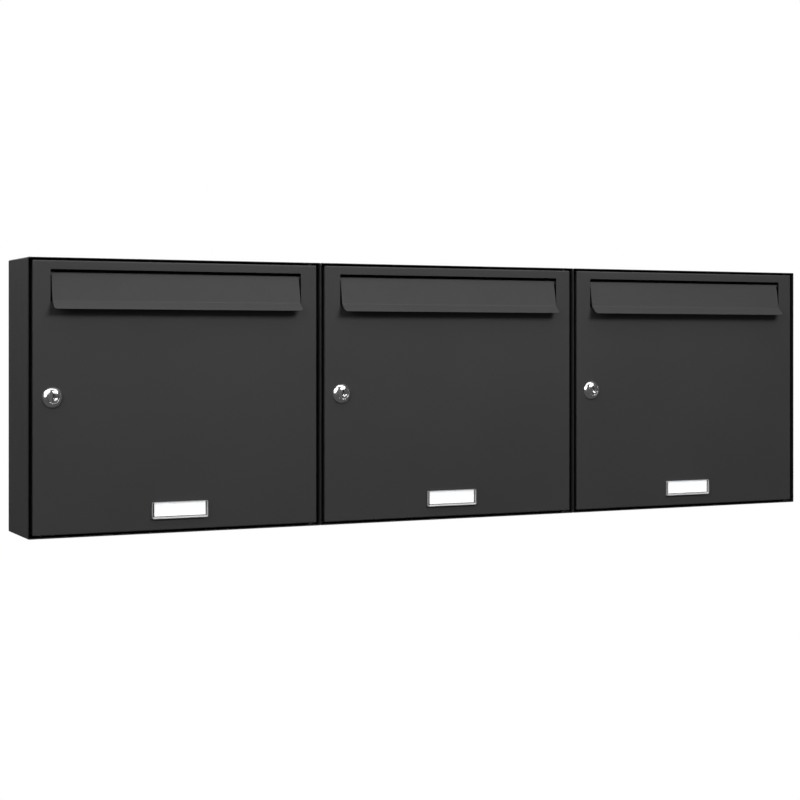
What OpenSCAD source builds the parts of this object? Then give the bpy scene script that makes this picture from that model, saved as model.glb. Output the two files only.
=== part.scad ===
// Wall-mounted bank of three sheet-steel mailboxes, bolted side by side.
// X runs along the bank, Y runs towards the wall, Z is up.
// The origin is the centre of the back face, in the wall plane.

/* [Compartment] */
// Width of one compartment, outside
box_w = 370; // [340:1:420]
// Height of one compartment, outside
box_h = 330; // [310:1:400]
// Depth of one compartment, wall face to front edge
box_d = 100; // [90:1:180]
// Thickness of the steel sheet
sheet = 1.0; // [0.8:0.1:1.5]

/* [Door] */
// Gap at each side of a door, from the outside of the side wall
side_gap = 5.5; // [4.5:0.1:6.5]
// Gap over a door, from the outside of the top plate
top_gap = 3.4; // [2.2:0.1:3.5]
// Gap under a door, from the outside of the bottom plate
bottom_gap = 3.5; // [3.2:0.1:4.5]
// Depth of the door's folded edges
door_flange = 12; // [11:0.5:14]
// Width of the soft radius on the folded edges
fold_r = 1.5; // [1.1:0.1:2]

/* [Door hinge] */
// Distance of the hinge axis from the door's edge
hinge_in = 7; // [6.5:0.1:8]
// Distance of the hinge axis behind the door's face
hinge_back = 6; // [5.8:0.1:7]
// Diameter of the hinge pins
hinge_pin_d = 5; // [4:0.5:5]
// Radial running clearance of pins, rods and plugs
run_gap = 0.05; // [0.03:0.01:0.08]

/* [Mail slot and flap] */
// Width of the mail slot
slot_w = 316.5; // [300:0.5:320]
// Height of the mail slot
slot_h = 39; // [36:0.5:42]
// Distance of the slot's top edge below the top of the compartment
slot_drop = 14; // [13:0.5:16]
// Width of the flap's face
flap_w = 313; // [290:0.2:314]
// Lean of the closed flap's face, in degrees from vertical
flap_lean = 11; // [9:1:13]
// Length of the flap's flat face
flap_face = 31.3; // [29:0.1:31.5]
// Slope of the pull lip, in degrees from vertical
lip_lean = 48; // [40:1:55]
// Length of the pull lip
lip_len = 12.3; // [9:0.1:13]
// Radius of the pull lip's two corners (mm)
lip_r = 3.5; // [1:0.5:6]
// Diameter of the rod that the flap hangs on
flap_rod_d = 3; // [2.5:0.5:3]

/* [Cam lock] */
// Distance of the lock's axis from the left outside wall
lock_in = 29; // [28:0.5:34]
// Diameter of the domed rim
lock_rim_d = 25; // [22:0.5:26]
// Diameter of the lock's barrel
lock_barrel_d = 18; // [16:0.5:19]
// Diameter of the turning plug
lock_plug_d = 13.5; // [12:0.5:14]
// Reach of the cam from the lock's axis
cam_reach = 24; // [22:0.5:25]

/* [Nameplate] */
// Width of the clear nameplate cover
plate_w = 70.5; // [70:0.5:76]
// Height of the clear nameplate cover
plate_h = 20.4; // [20.2:0.1:24]
// Height of the nameplate's centre above the bottom of the compartment
plate_up = 27.5; // [25:0.5:40]

/* [Wall and joining bolts] */
// Spacing of the wall bolt holes along X
bolt_x = 290; // [250:1:300]
// Spacing of the wall bolt holes along Z
bolt_z = 250; // [200:1:270]
// Diameter of the wall bolt holes
bolt_d = 6.5; // [5.5:0.5:8]
// Height of the joining screws above and below the middle
join_z = 110; // [90:1:125]

/* [Hidden] */
$fn = 64;
e = 0.01;

// Half sizes and main levels, measured from the centre of one compartment
hw = box_w / 2;
hh = box_h / 2;
face_y = -box_d;
door_l = -hw + side_gap;
door_r = hw - side_gap;
door_t = hh - top_gap;
door_b = -hh + bottom_gap;
door_rear = face_y + door_flange;
slot_t = hh - slot_drop;
slot_b = slot_t - slot_h;
hinge_x = door_r - hinge_in;
hinge_y = face_y + hinge_back;
pin_r = hinge_pin_d / 2;
lock_x = -hw + lock_in;
plate_z = -hh + plate_up;
card_w = 64.4;
card_h = 16.6;
card_up = 1.25;

// Flap section: the front face leaves the rolled knuckle as a tangent,
// bends forward in an arc, and ends in the straight pull lip
rod_r = flap_rod_d / 2;
roll_r = 2.5;
rod_y = face_y + 5.8;
rod_z = slot_t - 5.8;
bend_r = 4;
roll_w = flap_w + 8.6;
function nrm(a) = [-cos(a), sin(a)];
function dwn(a) = [-sin(a), -cos(a)];
flap_a = [rod_y, rod_z] + roll_r * nrm(flap_lean);
flap_b = flap_a + flap_face * dwn(flap_lean);
bend_c = flap_b + bend_r * nrm(flap_lean);
flap_e = bend_c - bend_r * nrm(lip_lean);
flap_tip = flap_e + lip_len * dwn(lip_lean);
bend_n = 8;
function bend_at(r, i) =
  bend_c - r * nrm(flap_lean + (lip_lean - flap_lean) * i / bend_n);

// Strike rail: the flange that the cam closes behind
rail_y = door_rear + 4;
rail_w = 13;
cam_y = rail_y + sheet + 0.3;
cam_t = 2;

paint = [0.235, 0.235, 0.237];
paint_door = [0.225, 0.225, 0.227];
steel = [0.62, 0.63, 0.64];
chrome = [0.80, 0.81, 0.82];

// Place a piece in one of the three compartments: -1, 0 or 1
module at(i) { translate([i * box_w, 0, 0]) children(); }
// Box from low corner to high corner
module span(a, b) { translate(a) cube(b - a); }
// Extrude a (Y, Z) section along X, centred
module along_x(w) {
  rotate([90, 0, 90]) translate([0, 0, -w / 2]) linear_extrude(w) children();
}
// Cylinder along Y from y0 to y1
module cyl_y(r, y0, y1) {
  translate([0, y1, 0]) rotate([90, 0, 0]) cylinder(r = r, h = y1 - y0);
}
// Cylinder along X from x0 to x1
module cyl_x(r, x0, x1) {
  translate([x0, 0, 0]) rotate([0, 90, 0]) cylinder(r = r, h = x1 - x0);
}
// Four copies at the corners of a rectangle in the XZ plane
module corners(w, h) {
  for (sx = [-1, 1], sz = [-1, 1]) translate([sx * w / 2, 0, sz * h / 2]) children();
}

// ---- root body: housing, strike rail, buffers, hinge pins ----

// Rectangle with rounded corners, made of exact squares and circles
module rounded(w, h, r) {
  square([w - 2 * r, h], center = true);
  square([w, h - 2 * r], center = true);
  for (sx = [-1, 1], sy = [-1, 1])
    translate([sx * (w / 2 - r), sy * (h / 2 - r)]) circle(r);
}

module housing(join_left, join_right) {
  color(paint) difference() {
    translate([0, 0, 0]) rotate([90, 0, 0])
      linear_extrude(box_d) rounded(box_w, box_h, fold_r);
    translate([0, -sheet, 0]) rotate([90, 0, 0])
      linear_extrude(box_d) rounded(box_w - 2 * sheet, box_h - 2 * sheet, fold_r - sheet);
    corners(bolt_x, bolt_z) cyl_y(bolt_d / 2, -sheet - 1, 1);
    for (s = [-1, 1])
      if (s == -1 ? join_left : join_right)
        for (z = [-join_z, join_z]) translate([0, -box_d / 2, z])
          cyl_x(2.75, s * (hw - sheet / 2) - 2, s * (hw - sheet / 2) + 2);
  }
}

module strike_rail() {
  x0 = -hw + sheet;
  color(paint) union() {
    span([x0, rail_y, -hh + 12], [x0 + rail_w, rail_y + sheet, hh - 12]);
    span([x0, rail_y, -hh + 12], [x0 + sheet, rail_y + 18, hh - 12]);
  }
}

module door_buffers() {
  color([0.05, 0.05, 0.05]) for (z = [-120, 120])
    translate([-hw + 8, 0, z]) union() {
      cyl_y(5, rail_y - 2.6, rail_y);
      cyl_y(4, door_rear + 0.2, rail_y - 2.6 + e);
    }
}

// Fixed studs: the lower one has a shoulder that carries the door
module hinge_pins() {
  color([0.16, 0.16, 0.16]) translate([hinge_x, hinge_y, 0]) {
    translate([0, 0, hh - sheet - 8]) cylinder(r = pin_r, h = 8);
    translate([0, 0, -hh + sheet]) union() {
      cylinder(r = pin_r, h = 9);
      cylinder(r = 4.5, h = bottom_gap - sheet - 1.05);
    }
  }
}

// ---- door body ----

// Flanged plastic bush: collar below, sleeve through the door's flange
module bush(collar_z, sleeve_z) {
  difference() {
    union() {
      translate([0, 0, collar_z]) cylinder(r = 4.9, h = 1);
      translate([0, 0, min(collar_z, sleeve_z)]) cylinder(r = 3.5, h = 2.4);
    }
    translate([0, 0, -200]) cylinder(r = pin_r + run_gap, h = 400);
  }
}

module hinge_bushes() {
  color([0.05, 0.05, 0.05]) translate([hinge_x, hinge_y, 0]) {
    bush(door_b - 1, door_b - 1);
    bush(door_t - sheet - 1, door_t - sheet - 1);
  }
}

module door() {
  color(paint_door) difference() {
    intersection() {
      span([door_l, face_y, door_b], [door_r, door_rear, door_t]);
      union() {
        along_x(box_w) polygon([
          [face_y + fold_r, door_b], [door_rear, door_b],
          [door_rear, door_t], [face_y + fold_r, door_t]]);
        along_x(box_w) polygon([
          [face_y, door_b + fold_r], [face_y + fold_r, door_b],
          [face_y + fold_r, door_t], [face_y, door_t - fold_r]]);
        for (z = [door_b + fold_r, door_t - fold_r])
          translate([0, face_y + fold_r, z]) cyl_x(fold_r, door_l, door_r);
      }
    }
    span([door_l + sheet, face_y + sheet, door_b + sheet],
         [door_r - sheet, door_rear + 1, door_t - sheet]);
    span([-slot_w / 2, face_y - 1, slot_b], [slot_w / 2, face_y + 3, slot_t]);
    translate([lock_x, 0, 0]) intersection() {
      cyl_y(lock_barrel_d / 2 + 0.1, face_y - 1, face_y + 3);
      cube([lock_barrel_d, 400, lock_barrel_d - 1.8], center = true);
    }
    for (s = [-1, 1]) span(
      [s * 34 - 1.2, face_y - 1, plate_z - 3.2],
      [s * 34 + 1.2, face_y + 3, plate_z + 3.2]);
    for (z = [door_b - 1, door_t - sheet - 1])
      translate([hinge_x, hinge_y, z]) cylinder(r = 3.5, h = sheet + 2);
  }
}

module flap_brackets() {
  xi = roll_w / 2 + 0.5;
  color(paint_door) for (s = [-1, 1]) mirror([s < 0 ? 1 : 0, 0, 0])
    difference() {
      union() {
        span([xi, face_y + sheet, rod_z - 7], [xi + 1.5, rod_y + 5, rod_z + 5]);
        span([xi, face_y + sheet, rod_z - 7], [xi + 9, face_y + 2 * sheet, rod_z + 5]);
      }
      translate([0, rod_y, rod_z]) cyl_x(rod_r + 0.02, xi - 1, xi + 3);
    }
}

module flap_rod() {
  xo = roll_w / 2 + 0.5 + 1.5;
  color(steel) translate([0, rod_y, rod_z]) union() {
    cyl_x(rod_r, -xo - 2, xo + 2);
    cyl_x(rod_r + 0.9, -xo - 2, -xo - 0.6);
    cyl_x(rod_r + 0.9, xo + 0.6, xo + 2);
  }
}

// Rubber edge clips on the slot's lower edge: the closed flap rests on them
module flap_buffers() {
  f = face_y - 1.35;
  color([0.05, 0.05, 0.05]) for (x = [-125, 125]) translate([x, 0, 0])
    along_x(14) polygon([
      [f, slot_b - 5], [face_y, slot_b - 5], [face_y, slot_b],
      [face_y + sheet, slot_b], [face_y + sheet, slot_b - 5],
      [face_y + sheet + 1.2, slot_b - 5], [face_y + sheet + 1.2, slot_b + 2.4],
      [f, slot_b + 2.4]]);
}

module lock_body() {
  b = lock_barrel_d / 2;
  p = lock_plug_d / 2 + run_gap;
  r = lock_rim_d / 2;
  color(chrome) translate([lock_x, 0, 0]) difference() {
    union() {
      intersection() {
        cyl_y(b, face_y, door_rear + 4);
        cube([400, 400, 2 * b - 2], center = true);
      }
      // Domed rim, turned about the lock's axis
      translate([0, face_y, 0]) rotate([90, 0, 0]) rotate_extrude()
        polygon([[0, 0], [r, 0], [r, 0.8],
          for (i = [1 : 10]) let (t = i / 10)
            [r - (r - p - 0.6) * t, 0.8 + 3.4 * sin(90 * sqrt(t * (2 - t)))],
          [0, 4.2]]);
    }
    cyl_y(p, face_y - 10, door_rear + 10);
  }
}

module lock_nut() {
  color(steel) translate([lock_x, 0, 0]) difference() {
    translate([0, face_y + sheet + 4, 0]) rotate([90, 0, 0])
      rotate([0, 0, 30]) cylinder(r = 12.4, h = 4, $fn = 6);
    cyl_y(lock_barrel_d / 2 + 0.02, face_y, face_y + 10);
  }
}

module lock_plug() {
  color(chrome) translate([lock_x, 0, 0]) difference() {
    union() {
      cyl_y(lock_plug_d / 2, face_y - 3.7, rail_y);
      span([-3.5, rail_y - e, -3.5], [3.5, cam_y + cam_t, 3.5]);
    }
    // Keyway, open to the front
    span([-1, face_y - 5, -4.2], [1, face_y + 8, 4.2]);
    span([-2.2, face_y - 5, 1.4], [2.2, face_y + 8, 3.0]);
    cyl_y(2, rail_y - 2, cam_y + cam_t + 1);
  }
}

// Cam: hangs down when unlocked, turns to the left behind the strike rail
module lock_cam() {
  color(steel) translate([lock_x, 0, 0]) difference() {
    union() {
      cyl_y(8, cam_y, cam_y + cam_t);
      span([-6, cam_y, -cam_reach + 6], [6, cam_y + cam_t, 0]);
      translate([0, 0, -cam_reach + 6]) cyl_y(6, cam_y, cam_y + cam_t);
    }
    cube([7.04, 400, 7.04], center = true);
  }
}

module cam_screw() {
  color(steel) translate([lock_x, 0, 0]) difference() {
    union() {
      cyl_y(5.2, cam_y + cam_t, cam_y + cam_t + 0.8);
      cyl_y(3.6, cam_y + cam_t, cam_y + cam_t + 3);
      cyl_y(1.98, rail_y - 1.5, cam_y + cam_t + e);
    }
    span([-0.5, cam_y + cam_t + 1.8, -5], [0.5, cam_y + cam_t + 4, 5]);
  }
}

module name_card() {
  color([0.93, 0.93, 0.92]) translate([0, 0, plate_z + card_up])
    span([-card_w / 2, face_y - 0.35, -card_h / 2], [card_w / 2, face_y, card_h / 2]);
}

// Clear cover with bevelled edges, a pocket for the card and two clips
module nameplate_cover() {
  t = 3;
  b = 2;
  w = plate_w / 2;
  h = plate_h / 2;
  color([0.80, 0.82, 0.83, 0.45]) translate([0, 0, plate_z]) difference() {
    union() {
      intersection() {
        translate([0, face_y, 0]) along_x(plate_w) polygon([
          [0, -h], [-1, -h], [-t, -h + b], [-t, h - b], [-1, h], [0, h]]);
        translate([0, face_y, -h - 1]) linear_extrude(plate_h + 2) polygon([
          [-w, 0], [-w, -1], [-w + b, -t], [w - b, -t], [w, -1], [w, 0]]);
      }
      for (s = [-1, 1]) translate([s * 34, 0, 0])
        span([-0.9, face_y - 0.5, -2.8], [0.9, face_y + 3.5, 2.8]);
    }
    span([-card_w / 2 - 0.2, face_y - 0.5, card_up - card_h / 2 - 0.2],
         [card_w / 2 + 0.2, face_y + 1, card_up + card_h / 2 + 0.2]);
  }
}

// ---- screws that join neighbouring compartments ----

module at_joints() {
  for (s = [-1, 1], z = [-join_z, join_z])
    translate([s * box_w / 2, -box_d / 2, z]) children();
}

module joining_screws() {
  color(steel) at_joints() difference() {
    union() {
      cyl_x(2.5, -sheet - e, 10);
      cyl_x(4.5, -sheet - 2.6, -sheet);
    }
    span([-sheet - 4, -0.6, -3], [-sheet - 1.4, 0.6, 3]);
    span([-sheet - 4, -3, -0.6], [-sheet - 1.4, 3, 0.6]);
  }
}

module joining_washers() {
  color(steel) at_joints() difference() {
    cyl_x(5, sheet, sheet + 1);
    cyl_x(2.65, 0, 5);
  }
}

module joining_nuts() {
  color(steel) at_joints() difference() {
    translate([sheet + 1, 0, 0]) rotate([0, 90, 0]) cylinder(r = 4.62, h = 4, $fn = 6);
    cyl_x(2.52, 0, 12);
  }
}

// ---- one named piece per compartment ----

module housing_left() { at(-1) housing(false, true); }
module housing_middle() { at(0) housing(true, true); }
module housing_right() { at(1) housing(true, false); }
module strike_rail_left() { at(-1) strike_rail(); }
module strike_rail_middle() { at(0) strike_rail(); }
module strike_rail_right() { at(1) strike_rail(); }
module door_buffers_left() { at(-1) door_buffers(); }
module door_buffers_middle() { at(0) door_buffers(); }
module door_buffers_right() { at(1) door_buffers(); }
module hinge_pins_left() { at(-1) hinge_pins(); }
module hinge_pins_middle() { at(0) hinge_pins(); }
module hinge_pins_right() { at(1) hinge_pins(); }
module hinge_bushes_left() { at(-1) hinge_bushes(); }
module hinge_bushes_middle() { at(0) hinge_bushes(); }
module hinge_bushes_right() { at(1) hinge_bushes(); }
module door_left() { at(-1) door(); }
module door_middle() { at(0) door(); }
module door_right() { at(1) door(); }
module flap_brackets_left() { at(-1) flap_brackets(); }
module flap_brackets_middle() { at(0) flap_brackets(); }
module flap_brackets_right() { at(1) flap_brackets(); }
module flap_rod_left() { at(-1) flap_rod(); }
module flap_rod_middle() { at(0) flap_rod(); }
module flap_rod_right() { at(1) flap_rod(); }
module flap_left() { at(-1) flap(); }
module flap_middle() { at(0) flap(); }
module flap_right() { at(1) flap(); }
module flap_buffers_left() { at(-1) flap_buffers(); }
module flap_buffers_middle() { at(0) flap_buffers(); }
module flap_buffers_right() { at(1) flap_buffers(); }
module lock_body_left() { at(-1) lock_body(); }
module lock_body_middle() { at(0) lock_body(); }
module lock_body_right() { at(1) lock_body(); }
module lock_nut_left() { at(-1) lock_nut(); }
module lock_nut_middle() { at(0) lock_nut(); }
module lock_nut_right() { at(1) lock_nut(); }
module lock_plug_left() { at(-1) lock_plug(); }
module lock_plug_middle() { at(0) lock_plug(); }
module lock_plug_right() { at(1) lock_plug(); }
module lock_cam_left() { at(-1) lock_cam(); }
module lock_cam_middle() { at(0) lock_cam(); }
module lock_cam_right() { at(1) lock_cam(); }
module cam_screw_left() { at(-1) cam_screw(); }
module cam_screw_middle() { at(0) cam_screw(); }
module cam_screw_right() { at(1) cam_screw(); }
module name_card_left() { at(-1) name_card(); }
module name_card_middle() { at(0) name_card(); }
module name_card_right() { at(1) name_card(); }
module nameplate_cover_left() { at(-1) nameplate_cover(); }
module nameplate_cover_middle() { at(0) nameplate_cover(); }
module nameplate_cover_right() { at(1) nameplate_cover(); }

// Rolled knuckle, face, bend and pull lip in one sheet
module flap() {
  inner = [for (i = [0 : bend_n]) bend_at(bend_r, i)];
  outer = [for (i = [bend_n : -1 : 0]) bend_at(bend_r + sheet, i)];
  tip_in = flap_tip - sheet * nrm(lip_lean);
  back_top = flap_a - sheet * nrm(flap_lean);
  color(paint_door) difference() {
    union() {
      along_x(flap_w) polygon(concat([flap_a], inner, [flap_tip, tip_in], outer, [back_top]));
      translate([0, rod_y, rod_z]) cyl_x(roll_r, -roll_w / 2, roll_w / 2);
    }
    translate([0, rod_y, rod_z]) cyl_x(rod_r + run_gap, -roll_w, roll_w);
    // Rounded corners on the pull lip
    for (s = [-1, 1]) translate([0, flap_tip[0], flap_tip[1]]) rotate([270 - lip_lean, 0, 0])
      mirror([s < 0 ? 1 : 0, 0, 0]) translate([flap_w / 2 - lip_r, -lip_r, -4])
        linear_extrude(8) difference() {
          square([lip_r + 2, lip_r + 3]);
          circle(r = lip_r);
        }
  }
}

housing_left();
housing_middle();
housing_right();
strike_rail_left();
strike_rail_middle();
strike_rail_right();
door_buffers_left();
door_buffers_middle();
door_buffers_right();
hinge_pins_left();
hinge_pins_middle();
hinge_pins_right();
hinge_bushes_left();
hinge_bushes_middle();
hinge_bushes_right();
door_left();
door_middle();
door_right();
flap_brackets_left();
flap_brackets_middle();
flap_brackets_right();
flap_rod_left();
flap_rod_middle();
flap_rod_right();
flap_left();
flap_middle();
flap_right();
flap_buffers_left();
flap_buffers_middle();
flap_buffers_right();
lock_body_left();
lock_body_middle();
lock_body_right();
lock_nut_left();
lock_nut_middle();
lock_nut_right();
lock_plug_left();
lock_plug_middle();
lock_plug_right();
lock_cam_left();
lock_cam_middle();
lock_cam_right();
cam_screw_left();
cam_screw_middle();
cam_screw_right();
name_card_left();
name_card_middle();
name_card_right();
nameplate_cover_left();
nameplate_cover_middle();
nameplate_cover_right();
joining_screws();
joining_washers();
joining_nuts();
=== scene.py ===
import math

import bmesh
import bpy
from mathutils import Matrix, Vector


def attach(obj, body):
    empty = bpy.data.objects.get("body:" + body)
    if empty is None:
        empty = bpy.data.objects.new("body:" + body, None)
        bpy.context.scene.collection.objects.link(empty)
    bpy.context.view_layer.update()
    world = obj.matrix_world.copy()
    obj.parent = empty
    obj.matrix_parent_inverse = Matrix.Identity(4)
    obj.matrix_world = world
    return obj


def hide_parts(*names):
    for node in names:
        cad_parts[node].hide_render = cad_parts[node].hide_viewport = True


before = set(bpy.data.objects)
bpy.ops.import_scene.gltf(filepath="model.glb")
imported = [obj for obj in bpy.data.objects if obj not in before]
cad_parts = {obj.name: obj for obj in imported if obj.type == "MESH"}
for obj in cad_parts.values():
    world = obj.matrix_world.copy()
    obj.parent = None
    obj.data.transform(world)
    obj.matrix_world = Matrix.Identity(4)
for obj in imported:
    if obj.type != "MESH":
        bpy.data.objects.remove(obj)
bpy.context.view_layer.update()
SIDES = (("left", -370.0), ("middle", 0.0), ("right", 370.0))
MM = 0.001
scene = bpy.context.scene

# ------------------------------------------------------------------ helpers


def link(name, bm, weld=True):
    """A bmesh in millimetres becomes an object in metres."""
    if weld:
        bmesh.ops.remove_doubles(bm, verts=bm.verts, dist=1e-4)
    bmesh.ops.recalc_face_normals(bm, faces=bm.faces)
    bmesh.ops.scale(bm, vec=(MM, MM, MM), verts=bm.verts)
    me = bpy.data.meshes.new(name)
    bm.to_mesh(me)
    bm.free()
    o = bpy.data.objects.new(name, me)
    scene.collection.objects.link(o)
    return o


def bake(o):
    """Applies the object's modifiers."""
    bpy.context.view_layer.update()
    dg = bpy.context.evaluated_depsgraph_get()
    me = bpy.data.meshes.new_from_object(o.evaluated_get(dg))
    o.modifiers.clear()
    old = o.data
    o.data = me
    me.name = o.name
    bpy.data.meshes.remove(old)
    return o


def cut(o, tools, operation="DIFFERENCE"):
    for t in tools:
        m = o.modifiers.new("cut", "BOOLEAN")
        m.operation, m.solver, m.object = operation, "EXACT", t
    bake(o)
    for t in tools:
        me = t.data
        bpy.data.objects.remove(t)
        bpy.data.meshes.remove(me)
    return o


def soften(o, width, segments=2, angle=35):
    """Rounds every edge sharper than angle, by width in millimetres."""
    m = o.modifiers.new("edge", "BEVEL")
    m.width, m.segments, m.limit_method = width * MM, segments, "ANGLE"
    m.angle_limit = math.radians(angle)
    m.use_clamp_overlap = True
    m.miter_outer = "MITER_ARC"
    return bake(o)


def smooth(o, angle=32):
    """Smooth shading that breaks at sharp edges, with flat faces kept flat."""
    me = o.data
    me.polygons.foreach_set("use_smooth", [True] * len(me.polygons))
    bm = bmesh.new()
    bm.from_mesh(me)
    for e in bm.edges:
        e.smooth = len(e.link_faces) == 2 and e.calc_face_angle(0) < math.radians(angle)
    bm.to_mesh(me)
    bm.free()
    m = o.modifiers.new("normals", "WEIGHTED_NORMAL")
    m.keep_sharp, m.weight = True, 80
    return bake(o)


def box_bm(lo, hi, bm=None):
    bm = bm or bmesh.new()
    made = bmesh.ops.create_cube(bm, size=1)["verts"]
    lo, hi = Vector(lo), Vector(hi)
    for v in made:
        v.co = Vector((lo[i] + (v.co[i] + 0.5) * (hi[i] - lo[i]) for i in range(3)))
    return bm


def rod_bm(axis, r, a, b, centre=(0, 0), n=48, bm=None):
    """Cylinder along "x", "y" or "z" from a to b; centre gives the other two coordinates in order."""
    bm = bm or bmesh.new()
    rings = []
    for t in (a, b):
        ring = []
        for i in range(n):
            u, v = centre[0] + r * math.cos(2 * math.pi * i / n), centre[1] + r * math.sin(2 * math.pi * i / n)
            ring.append(bm.verts.new({"x": (t, u, v), "y": (u, t, v), "z": (u, v, t)}[axis]))
        rings.append(ring)
    for i in range(n):
        bm.faces.new((rings[0][i], rings[0][(i + 1) % n], rings[1][(i + 1) % n], rings[1][i]))
    bm.faces.new(rings[0])
    bm.faces.new(rings[1])
    return bm


def prism_bm(points, a, b, axis="x", bm=None):
    """A closed outline, extruded along an axis from a to b. For x the outline is (y, z); for y it is (x, z); for z it is (x, y)."""
    bm = bm or bmesh.new()
    rings = [
        [bm.verts.new({"x": (t, u, v), "y": (u, t, v), "z": (u, v, t)}[axis]) for u, v in points]
        for t in (a, b)
    ]
    n = len(points)
    for i in range(n):
        bm.faces.new((rings[0][i], rings[0][(i + 1) % n], rings[1][(i + 1) % n], rings[1][i]))
    bm.faces.new(rings[0])
    bm.faces.new(rings[1])
    return bm


def lathe_bm(profile, x, z, n=96, bm=None, closed=True):
    """Turns an (r, y) profile about the Y axis through (x, z)."""
    bm = bm or bmesh.new()
    rings = []
    for r, y in profile:
        if r < 1e-6:
            rings.append([bm.verts.new((x, y, z))] * n)
        else:
            rings.append(
                [
                    bm.verts.new((x + r * math.cos(2 * math.pi * i / n), y, z + r * math.sin(2 * math.pi * i / n)))
                    for i in range(n)
                ]
            )
    count = len(profile) if closed else len(profile) - 1
    for k in range(count):
        a, b = rings[k], rings[(k + 1) % len(profile)]
        for i in range(n):
            j = (i + 1) % n
            face = []
            for v in (a[i], a[j], b[j], b[i]):
                if v not in face:
                    face.append(v)
            if len(face) > 2:
                bm.faces.new(face)
    return bm


def round_rect(x0, z0, x1, z1, r, n=5):
    pts = []
    for cx, cz, start in ((x1 - r, z1 - r, 0), (x0 + r, z1 - r, 90), (x0 + r, z0 + r, 180), (x1 - r, z0 + r, 270)):
        for i in range(n + 1):
            a = math.radians(start + 90 * i / n)
            pts.append((cx + r * math.cos(a), cz + r * math.sin(a)))
    return pts


def placed(o, dx, name=None, copy=False):
    """The object, or a copy of it, shifted along X by dx millimetres, in its mesh."""
    if copy:
        o = o.copy()
        o.data = o.data.copy()
        scene.collection.objects.link(o)
    o.data.transform(Matrix.Translation((dx * MM, 0, 0)))
    if name:
        o.name = name
        o.data.name = name
    return o


def three(master, base, body, material, nodes=None):
    """One piece in each compartment, standing for the CAD nodes of the same name."""
    made = []
    for i, (side, dx) in enumerate(SIDES):
        o = placed(master, dx, f"{base}_{side}_look", copy=True)
        o.data.materials.clear()
        o.data.materials.append(material)
        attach(o, body if body == "cabinet" else f"{body}_{side}")
        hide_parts(*[f"{n}_{side}" for n in (nodes or [base])])
        made.append(o)
    me = master.data
    bpy.data.objects.remove(master)
    bpy.data.meshes.remove(me)
    return made


# ---------------------------------------------------------------- materials


def nodes_of(name):
    m = bpy.data.materials.new(name)
    m.use_nodes = True
    nt = m.node_tree
    bsdf = nt.nodes["Principled BSDF"]
    return m, nt, bsdf


def noise(nt, coord, scale, detail=2.0, rough=0.5, dist=0.0):
    n = nt.nodes.new("ShaderNodeTexNoise")
    n.inputs["Scale"].default_value = scale
    n.inputs["Detail"].default_value = detail
    n.inputs["Roughness"].default_value = rough
    n.inputs["Distortion"].default_value = dist
    nt.links.new(coord, n.inputs["Vector"])
    return n


def ramp(nt, fac, stops):
    r = nt.nodes.new("ShaderNodeValToRGB")
    cr = r.color_ramp
    while len(cr.elements) > 1:
        cr.elements.remove(cr.elements[-1])
    cr.elements[0].position, cr.elements[0].color = stops[0][0], (*stops[0][1], 1)
    for p, c in stops[1:]:
        e = cr.elements.new(p)
        e.color = (*c, 1)
    nt.links.new(fac, r.inputs["Fac"])
    return r


def spread(nt, fac, lo, hi, a=0.3, b=0.7):
    m = nt.nodes.new("ShaderNodeMapRange")
    m.inputs["From Min"].default_value, m.inputs["From Max"].default_value = a, b
    m.inputs["To Min"].default_value, m.inputs["To Max"].default_value = lo, hi
    nt.links.new(fac, m.inputs["Value"])
    return m


def bump(nt, height, strength, distance, normal=None):
    b = nt.nodes.new("ShaderNodeBump")
    b.inputs["Strength"].default_value = strength
    b.inputs["Distance"].default_value = distance
    nt.links.new(height, b.inputs["Height"])
    if normal is not None:
        nt.links.new(normal, b.inputs["Normal"])
    return b


def object_coord(nt):
    return nt.nodes.new("ShaderNodeTexCoord").outputs["Object"]


def grey(v, warm=0.0):
    return (v * (1 + warm), v, v * (1 - warm))


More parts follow.
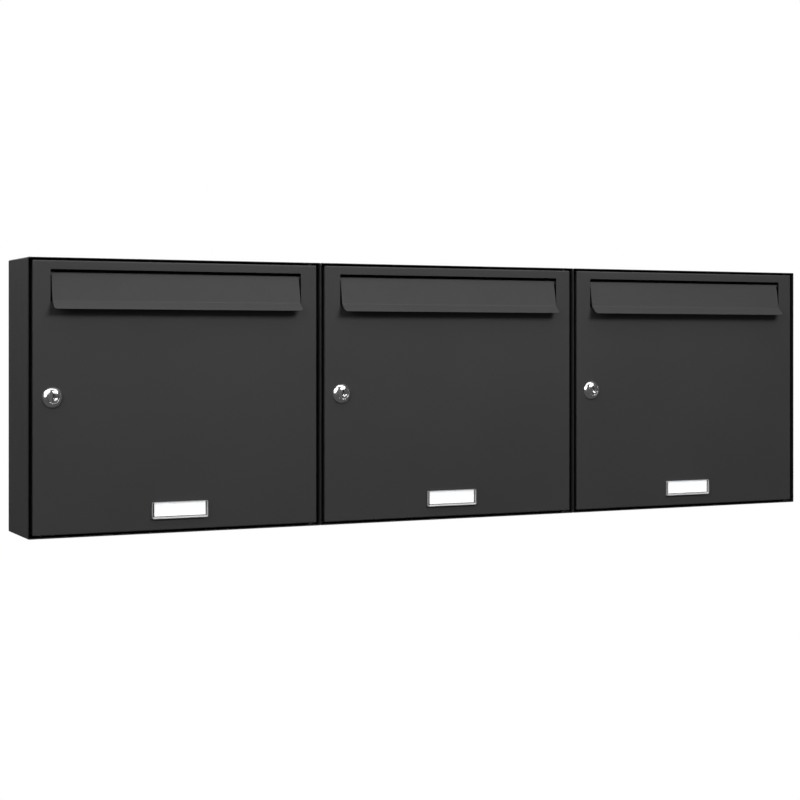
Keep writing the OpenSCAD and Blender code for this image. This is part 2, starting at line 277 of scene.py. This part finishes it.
def powder_coat(name, base, rough, spec=0.5, edge=None):
    """Fine-texture powder coat: soft mottling, orange peel and a finer grain."""
    m, nt, b = nodes_of(name)
    co = object_coord(nt)
    cloud = noise(nt, co, 7.0, 3.0)
    grain = noise(nt, co, 1500.0, 2.0, 0.6)
    tone = ramp(nt, cloud.outputs["Fac"], [(0.3, grey(base * 0.95)), (0.7, grey(base * 1.06))])
    speck = ramp(nt, grain.outputs["Fac"], [(0.35, grey(0.86)), (0.65, grey(1.14))])
    mix = nt.nodes.new("ShaderNodeMix")
    mix.data_type, mix.blend_type = "RGBA", "MULTIPLY"
    mix.inputs["Factor"].default_value = 0.6
    nt.links.new(tone.outputs["Color"], mix.inputs["A"])
    nt.links.new(speck.outputs["Color"], mix.inputs["B"])
    colour = mix.outputs["Result"]
    if edge:
        # painted shade: the colour is darkened along the sheet's cut front edge, standing in for the shade of the
        # gaps round the doors
        sep = nt.nodes.new("ShaderNodeSeparateXYZ")
        nt.links.new(co, sep.inputs["Vector"])
        edge_shade_mask = spread(nt, sep.outputs["Y"], edge, 1.0, -0.0997, -0.0992)
        painted_edge_shade = nt.nodes.new("ShaderNodeMix")
        painted_edge_shade.data_type, painted_edge_shade.blend_type = "RGBA", "MULTIPLY"
        painted_edge_shade.inputs["Factor"].default_value = 1.0
        nt.links.new(colour, painted_edge_shade.inputs["A"])
        nt.links.new(edge_shade_mask.outputs["Result"], painted_edge_shade.inputs["B"])
        colour = painted_edge_shade.outputs["Result"]
    nt.links.new(colour, b.inputs["Base Color"])
    r = spread(nt, noise(nt, co, 60.0, 3.0).outputs["Fac"], rough - 0.015, rough + 0.015)
    nt.links.new(r.outputs["Result"], b.inputs["Roughness"])
    peel = noise(nt, co, 520.0, 2.0, 0.45)
    b1 = bump(nt, peel.outputs["Fac"], 0.11, 0.0006)
    b2 = bump(nt, grain.outputs["Fac"], 0.08, 0.00025, b1.outputs["Normal"])
    nt.links.new(b2.outputs["Normal"], b.inputs["Normal"])
    b.inputs["IOR"].default_value = 1.5
    b.inputs["Specular IOR Level"].default_value = spec
    return m


def metal(name, base, rough, scratch=(60.0, 4.0), grain=900.0, tint=0.0, aniso_axis=1, cloudy=0.06):
    """Plated or brushed metal with faint clouding, fine scratches and grain."""
    m, nt, b = nodes_of(name)
    co = object_coord(nt)
    b.inputs["Metallic"].default_value = 1.0
    cloud = noise(nt, co, 90.0, 4.0, 0.6)
    tone = ramp(
        nt,
        cloud.outputs["Fac"],
        [(0.3, grey(base * (1 - cloudy), tint)), (0.7, grey(min(1.0, base * (1 + cloudy)), tint))],
    )
    nt.links.new(tone.outputs["Color"], b.inputs["Base Color"])
    mp = nt.nodes.new("ShaderNodeMapping")
    s = [scratch[0] * 20] * 3
    s[aniso_axis] = scratch[1] * 20
    mp.inputs["Scale"].default_value = s
    nt.links.new(co, mp.inputs["Vector"])
    streak = noise(nt, mp.outputs["Vector"], 1.0, 3.0, 0.6)
    r = spread(nt, streak.outputs["Fac"], max(0.02, rough * 0.75), rough * 1.3)
    nt.links.new(r.outputs["Result"], b.inputs["Roughness"])
    fine = noise(nt, co, grain, 2.0)
    b1 = bump(nt, streak.outputs["Fac"], 0.05, 0.0001)
    b2 = bump(nt, fine.outputs["Fac"], 0.03, 0.0001, b1.outputs["Normal"])
    nt.links.new(b2.outputs["Normal"], b.inputs["Normal"])
    return m


def plastic(name, colour, rough, grain=700.0, strength=0.12, spec=0.5):
    m, nt, b = nodes_of(name)
    co = object_coord(nt)
    cloud = noise(nt, co, 30.0, 3.0)
    tone = ramp(
        nt,
        cloud.outputs["Fac"],
        [(0.3, tuple(c * 0.94 for c in colour)), (0.7, tuple(min(1.0, c * 1.05) for c in colour))],
    )
    nt.links.new(tone.outputs["Color"], b.inputs["Base Color"])
    fine = noise(nt, co, grain, 3.0)
    r = spread(nt, fine.outputs["Fac"], rough - 0.04, rough + 0.04)
    nt.links.new(r.outputs["Result"], b.inputs["Roughness"])
    b1 = bump(nt, fine.outputs["Fac"], strength, 0.0002)
    nt.links.new(b1.outputs["Normal"], b.inputs["Normal"])
    b.inputs["Specular IOR Level"].default_value = spec
    return m


def clear_plastic(name, base, alpha, rough):
    """Clear moulding: see-through, with its own gloss, faint haze and ripple."""
    m, nt, b = nodes_of(name)
    co = object_coord(nt)
    haze = noise(nt, co, 140.0, 3.0)
    tone = ramp(nt, haze.outputs["Fac"], [(0.3, grey(base * 0.95)), (0.7, grey(base * 1.04))])
    nt.links.new(tone.outputs["Color"], b.inputs["Base Color"])
    r = spread(nt, haze.outputs["Fac"], rough * 0.8, rough * 1.3)
    nt.links.new(r.outputs["Result"], b.inputs["Roughness"])
    b1 = bump(nt, noise(nt, co, 60.0, 2.0).outputs["Fac"], 0.02, 0.0004)
    nt.links.new(b1.outputs["Normal"], b.inputs["Normal"])
    b.inputs["Alpha"].default_value = alpha
    b.inputs["IOR"].default_value = 1.49
    return m


# edge=0.3 darkens the housing's cut front edges: painted shade of the gaps round the doors
PAINT_BOX = powder_coat("powder_coat_housing", 0.030, 0.42, edge=0.3)
PAINT_DOOR = powder_coat("powder_coat_door", 0.0315, 0.52, 0.34)
# painted light: the flap takes a lighter copy of the door paint (base 0.034 against 0.0315), standing in for the
# extra light on its upward-leaning face; its roughness and specular differ too
PAINT_FLAP_LIT_COPY = powder_coat("powder_coat_flap_lit_copy", 0.034, 0.60, 0.27)
CHROME = metal("polished_chrome", 0.80, 0.13, cloudy=0.02)
PLUG = metal("satin_nickel", 0.66, 0.22, scratch=(90.0, 90.0), tint=0.01)
DARK_STEEL = metal("blackened_steel", 0.05, 0.40, cloudy=0.12)
ZINC = metal("zinc_plate", 0.52, 0.34, tint=-0.015, cloudy=0.10)
RUBBER = plastic("black_rubber", (0.012, 0.012, 0.012), 0.62, 900.0, 0.25, 0.35)
NYLON = plastic("black_nylon", (0.012, 0.012, 0.012), 0.45)
CARD = plastic("white_card", (0.95, 0.95, 0.95), 0.75, 1200.0, 0.10, 0.25)
# painted glow: the card emits light of its own, so it reads bright white under the cover
CARD.node_tree.nodes["Principled BSDF"].inputs["Emission Color"].default_value = (0.9, 0.95, 1.0, 1)
CARD.node_tree.nodes["Principled BSDF"].inputs["Emission Strength"].default_value = 0.32
CLEAR = clear_plastic("clear_window", 0.80, 0.035, 0.05)
# painted reflection: the clear rim gets a mostly opaque light grey that stands in for the light its bevels catch and
# bend
RIM = clear_plastic("clear_rim", 0.58, 0.72, 0.12)

# ----------------------------------------------------------------- geometry
# Sizes in millimetres, as in the CAD model: one compartment about its centre.

HW, HH, DEPTH, SHEET = 185.0, 165.0, 100.0, 1.0
FACE = -DEPTH
DL, DR, DB, DT = -179.5, 179.5, -161.5, 161.6
DREAR = FACE + 12.0
SLOT_T, SLOT_B, SLOT_W = 151.0, 112.0, 316.5
LOCK_X = -156.0
PLATE_Z = -137.5
HINGE_X, HINGE_Y = 172.5, -94.0
ROD_Y, ROD_Z = -94.2, 145.2


def bevel_edges(bm, test, r, seg):
    es = [e for e in bm.edges if test(e)]
    bmesh.ops.bevel(bm, geom=es, offset=r, offset_type="OFFSET", segments=seg, profile=0.5, affect="EDGES")


def shell(lo, hi, open_y, fold, corner, seg=5):
    """A folded sheet-metal pan: rounded box, open on one Y side; solid_shell gives it walls SHEET thick inside the
    outline.
    """
    bm = box_bm(lo, hi)
    mid = lambda e: (e.verts[0].co + e.verts[1].co) / 2
    along_y = lambda e: abs(e.verts[0].co.y - e.verts[1].co.y) > 1
    closed_y = hi[1] if open_y == lo[1] else lo[1]
    # the rim at the open side stays straight; everything else is folded
    for f in [f for f in bm.faces if abs(f.normal.y) > 0.9 and abs(f.calc_center_median().y - open_y) < 0.01]:
        bm.faces.remove(f)
    if abs(fold - corner) < 1e-6:
        bevel_edges(bm, lambda e: along_y(e) or abs(mid(e).y - closed_y) < 0.01, fold, seg)
    else:
        bevel_edges(bm, along_y, corner, seg)
        bevel_edges(
            bm,
            lambda e: all(abs(v.co.y - closed_y) < 0.01 for v in e.verts)
            and any(abs(f.normal.y) < 0.5 for f in e.link_faces),
            fold,
            seg,
        )
    return bm


def solid_shell(name, bm):
    o = link(name, bm)
    m = o.modifiers.new("sheet", "SOLIDIFY")
    m.thickness, m.offset, m.use_even_offset = SHEET * MM, -1, True
    m.use_quality_normals = True
    return bake(o)


def housing(name, join_left, join_right):
    o = solid_shell(name, shell((-HW, FACE, -HH), (HW, 0, HH), FACE, 1.5, 1.5))
    tools = []
    for sx in (-1, 1):
        for sz in (-1, 1):
            tools.append(link("t", rod_bm("y", 3.25, -4, 3, (sx * 145, sz * 125))))
    for s, on in ((-1, join_left), (1, join_right)):
        if on:
            for z in (-110, 110):
                tools.append(link("t", rod_bm("x", 2.75, s * HW - 3, s * HW + 3, (-50, z))))
    cut(o, tools)
    soften(o, 0.28, 2, 50)
    return smooth(o)


for (side, dx), (jl, jr) in zip(SIDES, ((False, True), (True, True), (True, False))):
    o = housing("h", jl, jr)
    placed(o, dx, f"housing_{side}_look")
    o.data.materials.append(PAINT_BOX)
    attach(o, "cabinet")
    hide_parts(f"housing_{side}")


def door():
    o = solid_shell("d", shell((DL, FACE, DB), (DR, DREAR, DT), DREAR, 1.5, 1.5))
    tools = [
        link("t", prism_bm(round_rect(-SLOT_W / 2, SLOT_B, SLOT_W / 2, SLOT_T, 0.9), FACE - 3, FACE + 3, "y")),
    ]
    hole = rod_bm("y", 9.1, FACE - 3, FACE + 3, (LOCK_X, 0), 64)
    for v in hole.verts:
        v.co.z = max(-8.1, min(8.1, v.co.z))
    tools.append(link("t", hole, weld=False))
    for s in (-1, 1):
        tools.append(
            link("t", prism_bm(round_rect(s * 34 - 1.2, PLATE_Z - 3.2, s * 34 + 1.2, PLATE_Z + 3.2, 0.4), FACE - 3, FACE + 3, "y"))
        )
    for z0, z1 in ((DB - 2, DB + 3), (DT - 3, DT + 2)):
        tools.append(link("t", rod_bm("z", 3.5, z0, z1, (HINGE_X, HINGE_Y))))
    cut(o, tools)
    soften(o, 0.25, 2, 50)
    return smooth(o)


three(door(), "door", "door", PAINT_DOOR)


# ---- flap: one sheet, rolled round the rod, flat face, soft bend, pull lip


def nrm(a):
    return Vector((-math.cos(math.radians(a)), math.sin(math.radians(a))))


def dwn(a):
    return Vector((-math.sin(math.radians(a)), -math.cos(math.radians(a))))


LEAN, LIP, FLAP_FACE, LIP_LEN, ROLL_R, BEND_R = 11.0, 48.0, 31.3, 12.3, 2.5, 4.0
FLAP_W = 313.0
knuckle = Vector((ROD_Y, ROD_Z))
fa = knuckle + ROLL_R * nrm(LEAN)
fb = fa + FLAP_FACE * dwn(LEAN)
bc = fb + BEND_R * nrm(LEAN)
fe = bc - BEND_R * nrm(LIP)
tip = fe + LIP_LEN * dwn(LIP)


def flap():
    n = 14
    arc = lambda r: [bc - r * nrm(LEAN + (LIP - LEAN) * i / n) for i in range(n + 1)]
    tip_c = tip - 0.5 * SHEET * nrm(LIP) - 0.5 * SHEET * dwn(LIP)
    nose = [
        tip_c + 0.5 * SHEET * (math.cos(t) * nrm(LIP) + math.sin(t) * dwn(LIP))
        for t in [math.radians(180 * i / 8) for i in range(9)]
    ]
    back = arc(BEND_R + SHEET)[::-1]
    top_back = knuckle + (ROLL_R - SHEET) * nrm(LEAN)
    outline = [fa] + arc(BEND_R) + nose + back + [top_back]
    plate = link("p", prism_bm([tuple(p) for p in outline], -FLAP_W / 2, FLAP_W / 2))
    # the lip's two corners are rounded
    u, v, r = dwn(LIP), nrm(LIP), 3.5
    corners = []
    for s in (-1, 1):
        ring = [(s * (FLAP_W / 2 + 2), 3.0)]
        arc_pts = [
            (s * (FLAP_W / 2 - r + r * math.sin(t)), -r + r * math.cos(t))
            for t in [math.radians(90 * i / 10) for i in range(11)]
        ]
        ring += [(arc_pts[0][0], 3.0)] + arc_pts + [(s * (FLAP_W / 2 + 2), arc_pts[-1][1])]
        bm = bmesh.new()
        sides = []
        for d in (-4.0, 4.0):
            sides.append([bm.verts.new((x, *(tip + k * u + d * v))) for x, k in ring])
        for i in range(len(ring)):
            j = (i + 1) % len(ring)
            bm.faces.new((sides[0][i], sides[0][j], sides[1][j], sides[1][i]))
        bm.faces.new(sides[0])
        bm.faces.new(sides[1])
        corners.append(link("t", bm))
    cut(plate, corners)
    ring = lambda r, f: (ROD_Y - r * math.cos(math.radians(f)), ROD_Z + r * math.sin(math.radians(f)))
    m = 40
    f0, f1 = -8.0, 302.0
    angles = [f0 + (f1 - f0) * i / m for i in range(m + 1)]
    roll = [ring(ROLL_R, f) for f in angles] + [ring(1.56, f) for f in reversed(angles)]
    tube = link("r", prism_bm(roll, -160.8, 160.8))
    cut(plate, [tube], "UNION")
    soften(plate, 0.16, 2, 50)
    return smooth(plate, 40)


three(flap(), "flap", "flap", PAINT_FLAP_LIT_COPY)


# ---- lock: domed rim and threaded barrel, plug with keyway


def lock_body():
    prof = [(6.82, -83.7), (8.4, -83.7), (8.8, -84.2)]
    y = -84.6
    while y > -94.6:
        prof += [(8.98, y), (8.98, y - 0.3), (8.45, y - 0.5), (8.45, y - 0.7)]
        y -= 1.0
    prof += [(8.98, y), (8.98, FACE + 0.05), (12.35, FACE + 0.02), (12.5, FACE - 0.12)]
    k = 24
    for i in range(k + 1):
        t = math.radians(60 - 40 * i / k)
        prof.append((3.525 + 10.363 * math.sin(t), FACE - 0.25 - 10.1 * (math.cos(t) - 0.5)))
    prof += [(6.94, FACE - 4.6), (6.86, FACE - 4.3), (6.82, FACE - 3.9)]
    return smooth(link("lb", lathe_bm(prof, LOCK_X, 0, 112)), 40)


three(lock_body(), "lock_body", "door", CHROME)


def lock_plug():
    front = -104.2
    prof = [(0, front), (5.9, front), (6.2, front + 0.06), (6.45, front + 0.24), (6.58, front + 0.6)]
    prof += [(6.6, front + 1.4), (6.74, front + 1.5), (6.74, -84.0), (0, -84.0)]
    o = link("lp", lathe_bm(prof, LOCK_X, 0, 96, closed=False))
    tail = link("t", box_bm((LOCK_X - 3.5, -84.4, -3.5), (LOCK_X + 3.5, -80.7, 3.5)))
    cut(o, [tail], "UNION")
    # warded keyway: a tall slot with a rib on each side
    pts = [(-0.95, -4.4), (0.95, -4.4), (0.95, -1.3), (0.35, -0.7), (0.35, 0.5), (0.95, 1.0), (0.95, 2.2), (1.5, 2.6),
           (1.5, 4.0), (0.95, 4.5), (-0.95, 4.5), (-0.95, 2.4), (-0.3, 1.9), (-0.3, 0.9), (-0.95, 0.4)]
    key = link("t", prism_bm([(LOCK_X + x, z) for x, z in pts], front - 2, front + 10, "y"))
    screw = link("t", rod_bm("y", 2.0, -86.0, -79.0, (LOCK_X, 0)))
    # bevelled key entry
    entry = link("t", lathe_bm([(0, front - 1), (3.2, front - 1), (3.2, front), (0, front + 3.0)], LOCK_X + 1.6, -0.2, 64, closed=False))
    cut(o, [entry])
    cut(o, [key, screw])
    soften(o, 0.14, 2, 40)
    return smooth(o, 40)


three(lock_plug(), "lock_plug", "lock", PLUG)


# ---- nameplate: clear bevelled cover with a pocket, clips, and the card


def window():
    """The flat clear front over the card, with the two clips that pass through the door."""
    lo, hi = PLATE_Z - 9.2, PLATE_Z + 9.5
    o = link("nc", prism_bm(round_rect(-34.3, lo, 34.0, hi, 0.6), FACE - 1.95, FACE - 1.55, "y"))
    clips = []
    for s in (-1, 1):
        clips.append(link("t", box_bm((s * 34 - 0.9, FACE - 1.75, PLATE_Z - 2.8), (s * 34 + 0.9, FACE + 3.5, PLATE_Z + 2.8))))
    cut(o, clips, "UNION")
    soften(o, 0.07, 1, 50)
    return smooth(o, 25)


def rim():
    """Raised moulded rim: outer wall, rounded crest, inner slope down to the window."""
    w, h = 35.25, 10.2
    bm = bmesh.new()
    rings = []
    for l, r, b, t, y, rad in (
        (0, 0, 0, 0, 0.0, 1.5),
        (0, 0, 0, 0, -2.2, 1.5),
        (0.10, 0.10, 0.12, 0.10, -2.65, 1.4),
        (0.35, 0.35, 0.45, 0.30, -3.0, 1.2),
        (0.50, 0.65, 1.0, 0.38, -2.95, 1.0),
        (0.85, 1.20, 2.25, 0.52, -1.85, 0.8),
        (0.90, 1.25, 2.35, 0.55, -1.6, 0.8),
        (0.90, 1.25, 2.35, 0.55, 0.0, 0.8),
    ):
        pts = round_rect(-w + l, PLATE_Z - h + b, w - r, PLATE_Z + h - t, rad, 5)
        rings.append([bm.verts.new((x, FACE + y, z)) for x, z in pts])
    for k in range(len(rings)):
        a, c = rings[k], rings[(k + 1) % len(rings)]
        for i in range(len(a)):
            j = (i + 1) % len(a)
            bm.faces.new((a[i], a[j], c[j], c[i]))
    return smooth(link("nr", bm), 50)


three(window(), "nameplate_cover", "door", CLEAR)
three(rim(), "nameplate_rim", "door", RIM, ["nameplate_cover"])


def name_card():
    z = PLATE_Z + 1.25
    o = link("c", prism_bm(round_rect(-32.2, z - 8.3, 32.2, z + 8.3, 0.6), FACE - 1.4, FACE - 0.02, "y"))
    return smooth(soften(o, 0.06, 1, 50), 40)


three(name_card(), "name_card", "door", CARD)


# ---- CAD pieces that keep their shape: softened edges and real finishes

KEEP = {
    "strike_rail": (PAINT_BOX, "housing_paint", 0.22),
    "door_buffers": (RUBBER, "black_rubber", 0.5),
    "hinge_pins": (DARK_STEEL, "black_steel", 0.3),
    "hinge_bushes": (NYLON, "nylon", 0.2),
    "flap_brackets": (PAINT_DOOR, "door_paint", 0.22),
    "flap_rod": (ZINC, "zinc_steel", 0.3),
    "flap_buffers": (RUBBER, "black_rubber", 0.3),
    "lock_nut": (ZINC, "zinc_steel", 0.35),
    "lock_cam": (ZINC, "zinc_steel", 0.25),
    "cam_screw": (ZINC, "zinc_steel", 0.2),
    "joining_screws": (ZINC, "zinc_steel", 0.2),
    "joining_washers": (ZINC, "zinc_steel", 0.15),
    "joining_nuts": (ZINC, "zinc_steel", 0.3),
}
for name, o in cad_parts.items():
    base = next((k for k in KEEP if name.startswith(k)), None)
    if base is None:
        continue
    mat, slot, width = KEEP[base]
    o.data.materials.clear()
    o.data.materials.append(mat)
    w = o.modifiers.new("weld", "WELD")
    w.merge_threshold = 1e-6
    b = o.modifiers.new("edge", "BEVEL")
    b.width, b.segments, b.limit_method = width * MM, 2, "ANGLE"
    b.angle_limit = math.radians(38)
    b.harden_normals = True
    n = o.modifiers.new("normals", "WEIGHTED_NORMAL")
    n.keep_sharp = True

# ------------------------------------------------------- stage, light, camera

FLOOR_Z = -3.6
bm = bmesh.new()
bmesh.ops.create_grid(bm, x_segments=2, y_segments=2, size=9.0)
me = bpy.data.meshes.new("floor")
bm.to_mesh(me)
bm.free()
floor = bpy.data.objects.new("floor", me)
floor.location = (0, 0, FLOOR_Z)
scene.collection.objects.link(floor)
fm, nt, b = nodes_of("pale_floor")
b.inputs["Base Color"].default_value = (0.9, 0.9, 0.9, 1)
b.inputs["Roughness"].default_value = 0.9
b.inputs["Emission Color"].default_value = (1, 1, 1, 1)
b.inputs["Emission Strength"].default_value = 1.0
me.materials.append(fm)
floor.visible_diffuse = False
floor.visible_glossy = False


def area(name, loc, target, size, power, shape="RECTANGLE"):
    d = bpy.data.lights.new(name, "AREA")
    d.shape, d.size, d.size_y, d.energy = shape, size[0], size[1], power
    o = bpy.data.objects.new(name, d)
    o.location = loc
    o.rotation_mode = "QUATERNION"
    o.rotation_quaternion = (Vector(target) - Vector(loc)).to_track_quat("-Z", "Y")
    scene.collection.objects.link(o)
    return o


area("key", (0.96, -2.72, 1.90), (0.0, -0.1, 0.0), (1.8, 0.95), 80)
area("top", (-0.15, -0.36, 1.55), (0.0, -0.1, 0.0), (3.2, 0.75), 18)
area("right_side", (2.4, 0.35, 0.7), (0.56, 0.0, 0.0), (1.0, 0.8), 9)
area("upper_left", (-1.35, -0.80, 1.15), (-0.25, -0.1, 0.0), (1.75, 1.55), 9, "ELLIPSE")
area("rear", (0.7, 2.6, 2.0), (0.0, 0.0, 0.0), (2.4, 1.4), 75)
area("left_fill", (-1.25, -0.02, 0.80), (-0.56, -0.05, 0.0), (0.5, 0.5), 2.7)
area("rear_left", (-1.2, 1.9, 0.85), (-0.56, 0.0, 0.1), (0.6, 0.5), 3)
area("left_front", (-2.7, -1.5, 1.0), (0.0, -0.2, 0.0), (1.4, 1.2), 22)

world = bpy.data.worlds.new("studio")
scene.world = world
world.use_nodes = True
nt = world.node_tree
bg = nt.nodes["Background"]
out = nt.nodes["World Output"]
co = nt.nodes.new("ShaderNodeTexCoord")
sep = nt.nodes.new("ShaderNodeSeparateXYZ")
nt.links.new(co.outputs["Generated"], sep.inputs["Vector"])
up = spread(nt, sep.outputs["Z"], 0.092, 0.145, -0.35, 0.9)
back = spread(nt, sep.outputs["Y"], 0.0, -0.012, -0.2, 0.6)
add = nt.nodes.new("ShaderNodeMath")
add.operation = "ADD"
nt.links.new(up.outputs["Result"], add.inputs[0])
nt.links.new(back.outputs["Result"], add.inputs[1])
nt.links.new(add.outputs["Value"], bg.inputs["Color"])
bg.inputs["Strength"].default_value = 1.0
white = nt.nodes.new("ShaderNodeBackground")
white.inputs["Color"].default_value = (1, 1, 1, 1)
white.inputs["Strength"].default_value = 1.0
lp = nt.nodes.new("ShaderNodeLightPath")
mix = nt.nodes.new("ShaderNodeMixShader")
nt.links.new(lp.outputs["Is Camera Ray"], mix.inputs["Fac"])
nt.links.new(bg.outputs["Background"], mix.inputs[1])
nt.links.new(white.outputs["Background"], mix.inputs[2])
nt.links.new(mix.outputs["Shader"], out.inputs["Surface"])

cam = bpy.data.cameras.new("camera")
camera = bpy.data.objects.new("camera", cam)
scene.collection.objects.link(camera)
cam.sensor_fit, cam.sensor_width, cam.lens = "HORIZONTAL", 36.0, 77.67
cam.shift_y = -0.0719
camera.location = (-1.0327, -2.1001, 0.0649)
camera.rotation_euler = (math.radians(90), 0, -0.4468)
cam.clip_start, cam.clip_end = 0.05, 60
cam.dof.use_dof = False
scene.camera = camera
scene.view_settings.view_transform = "Standard"
scene.view_settings.look = "None"
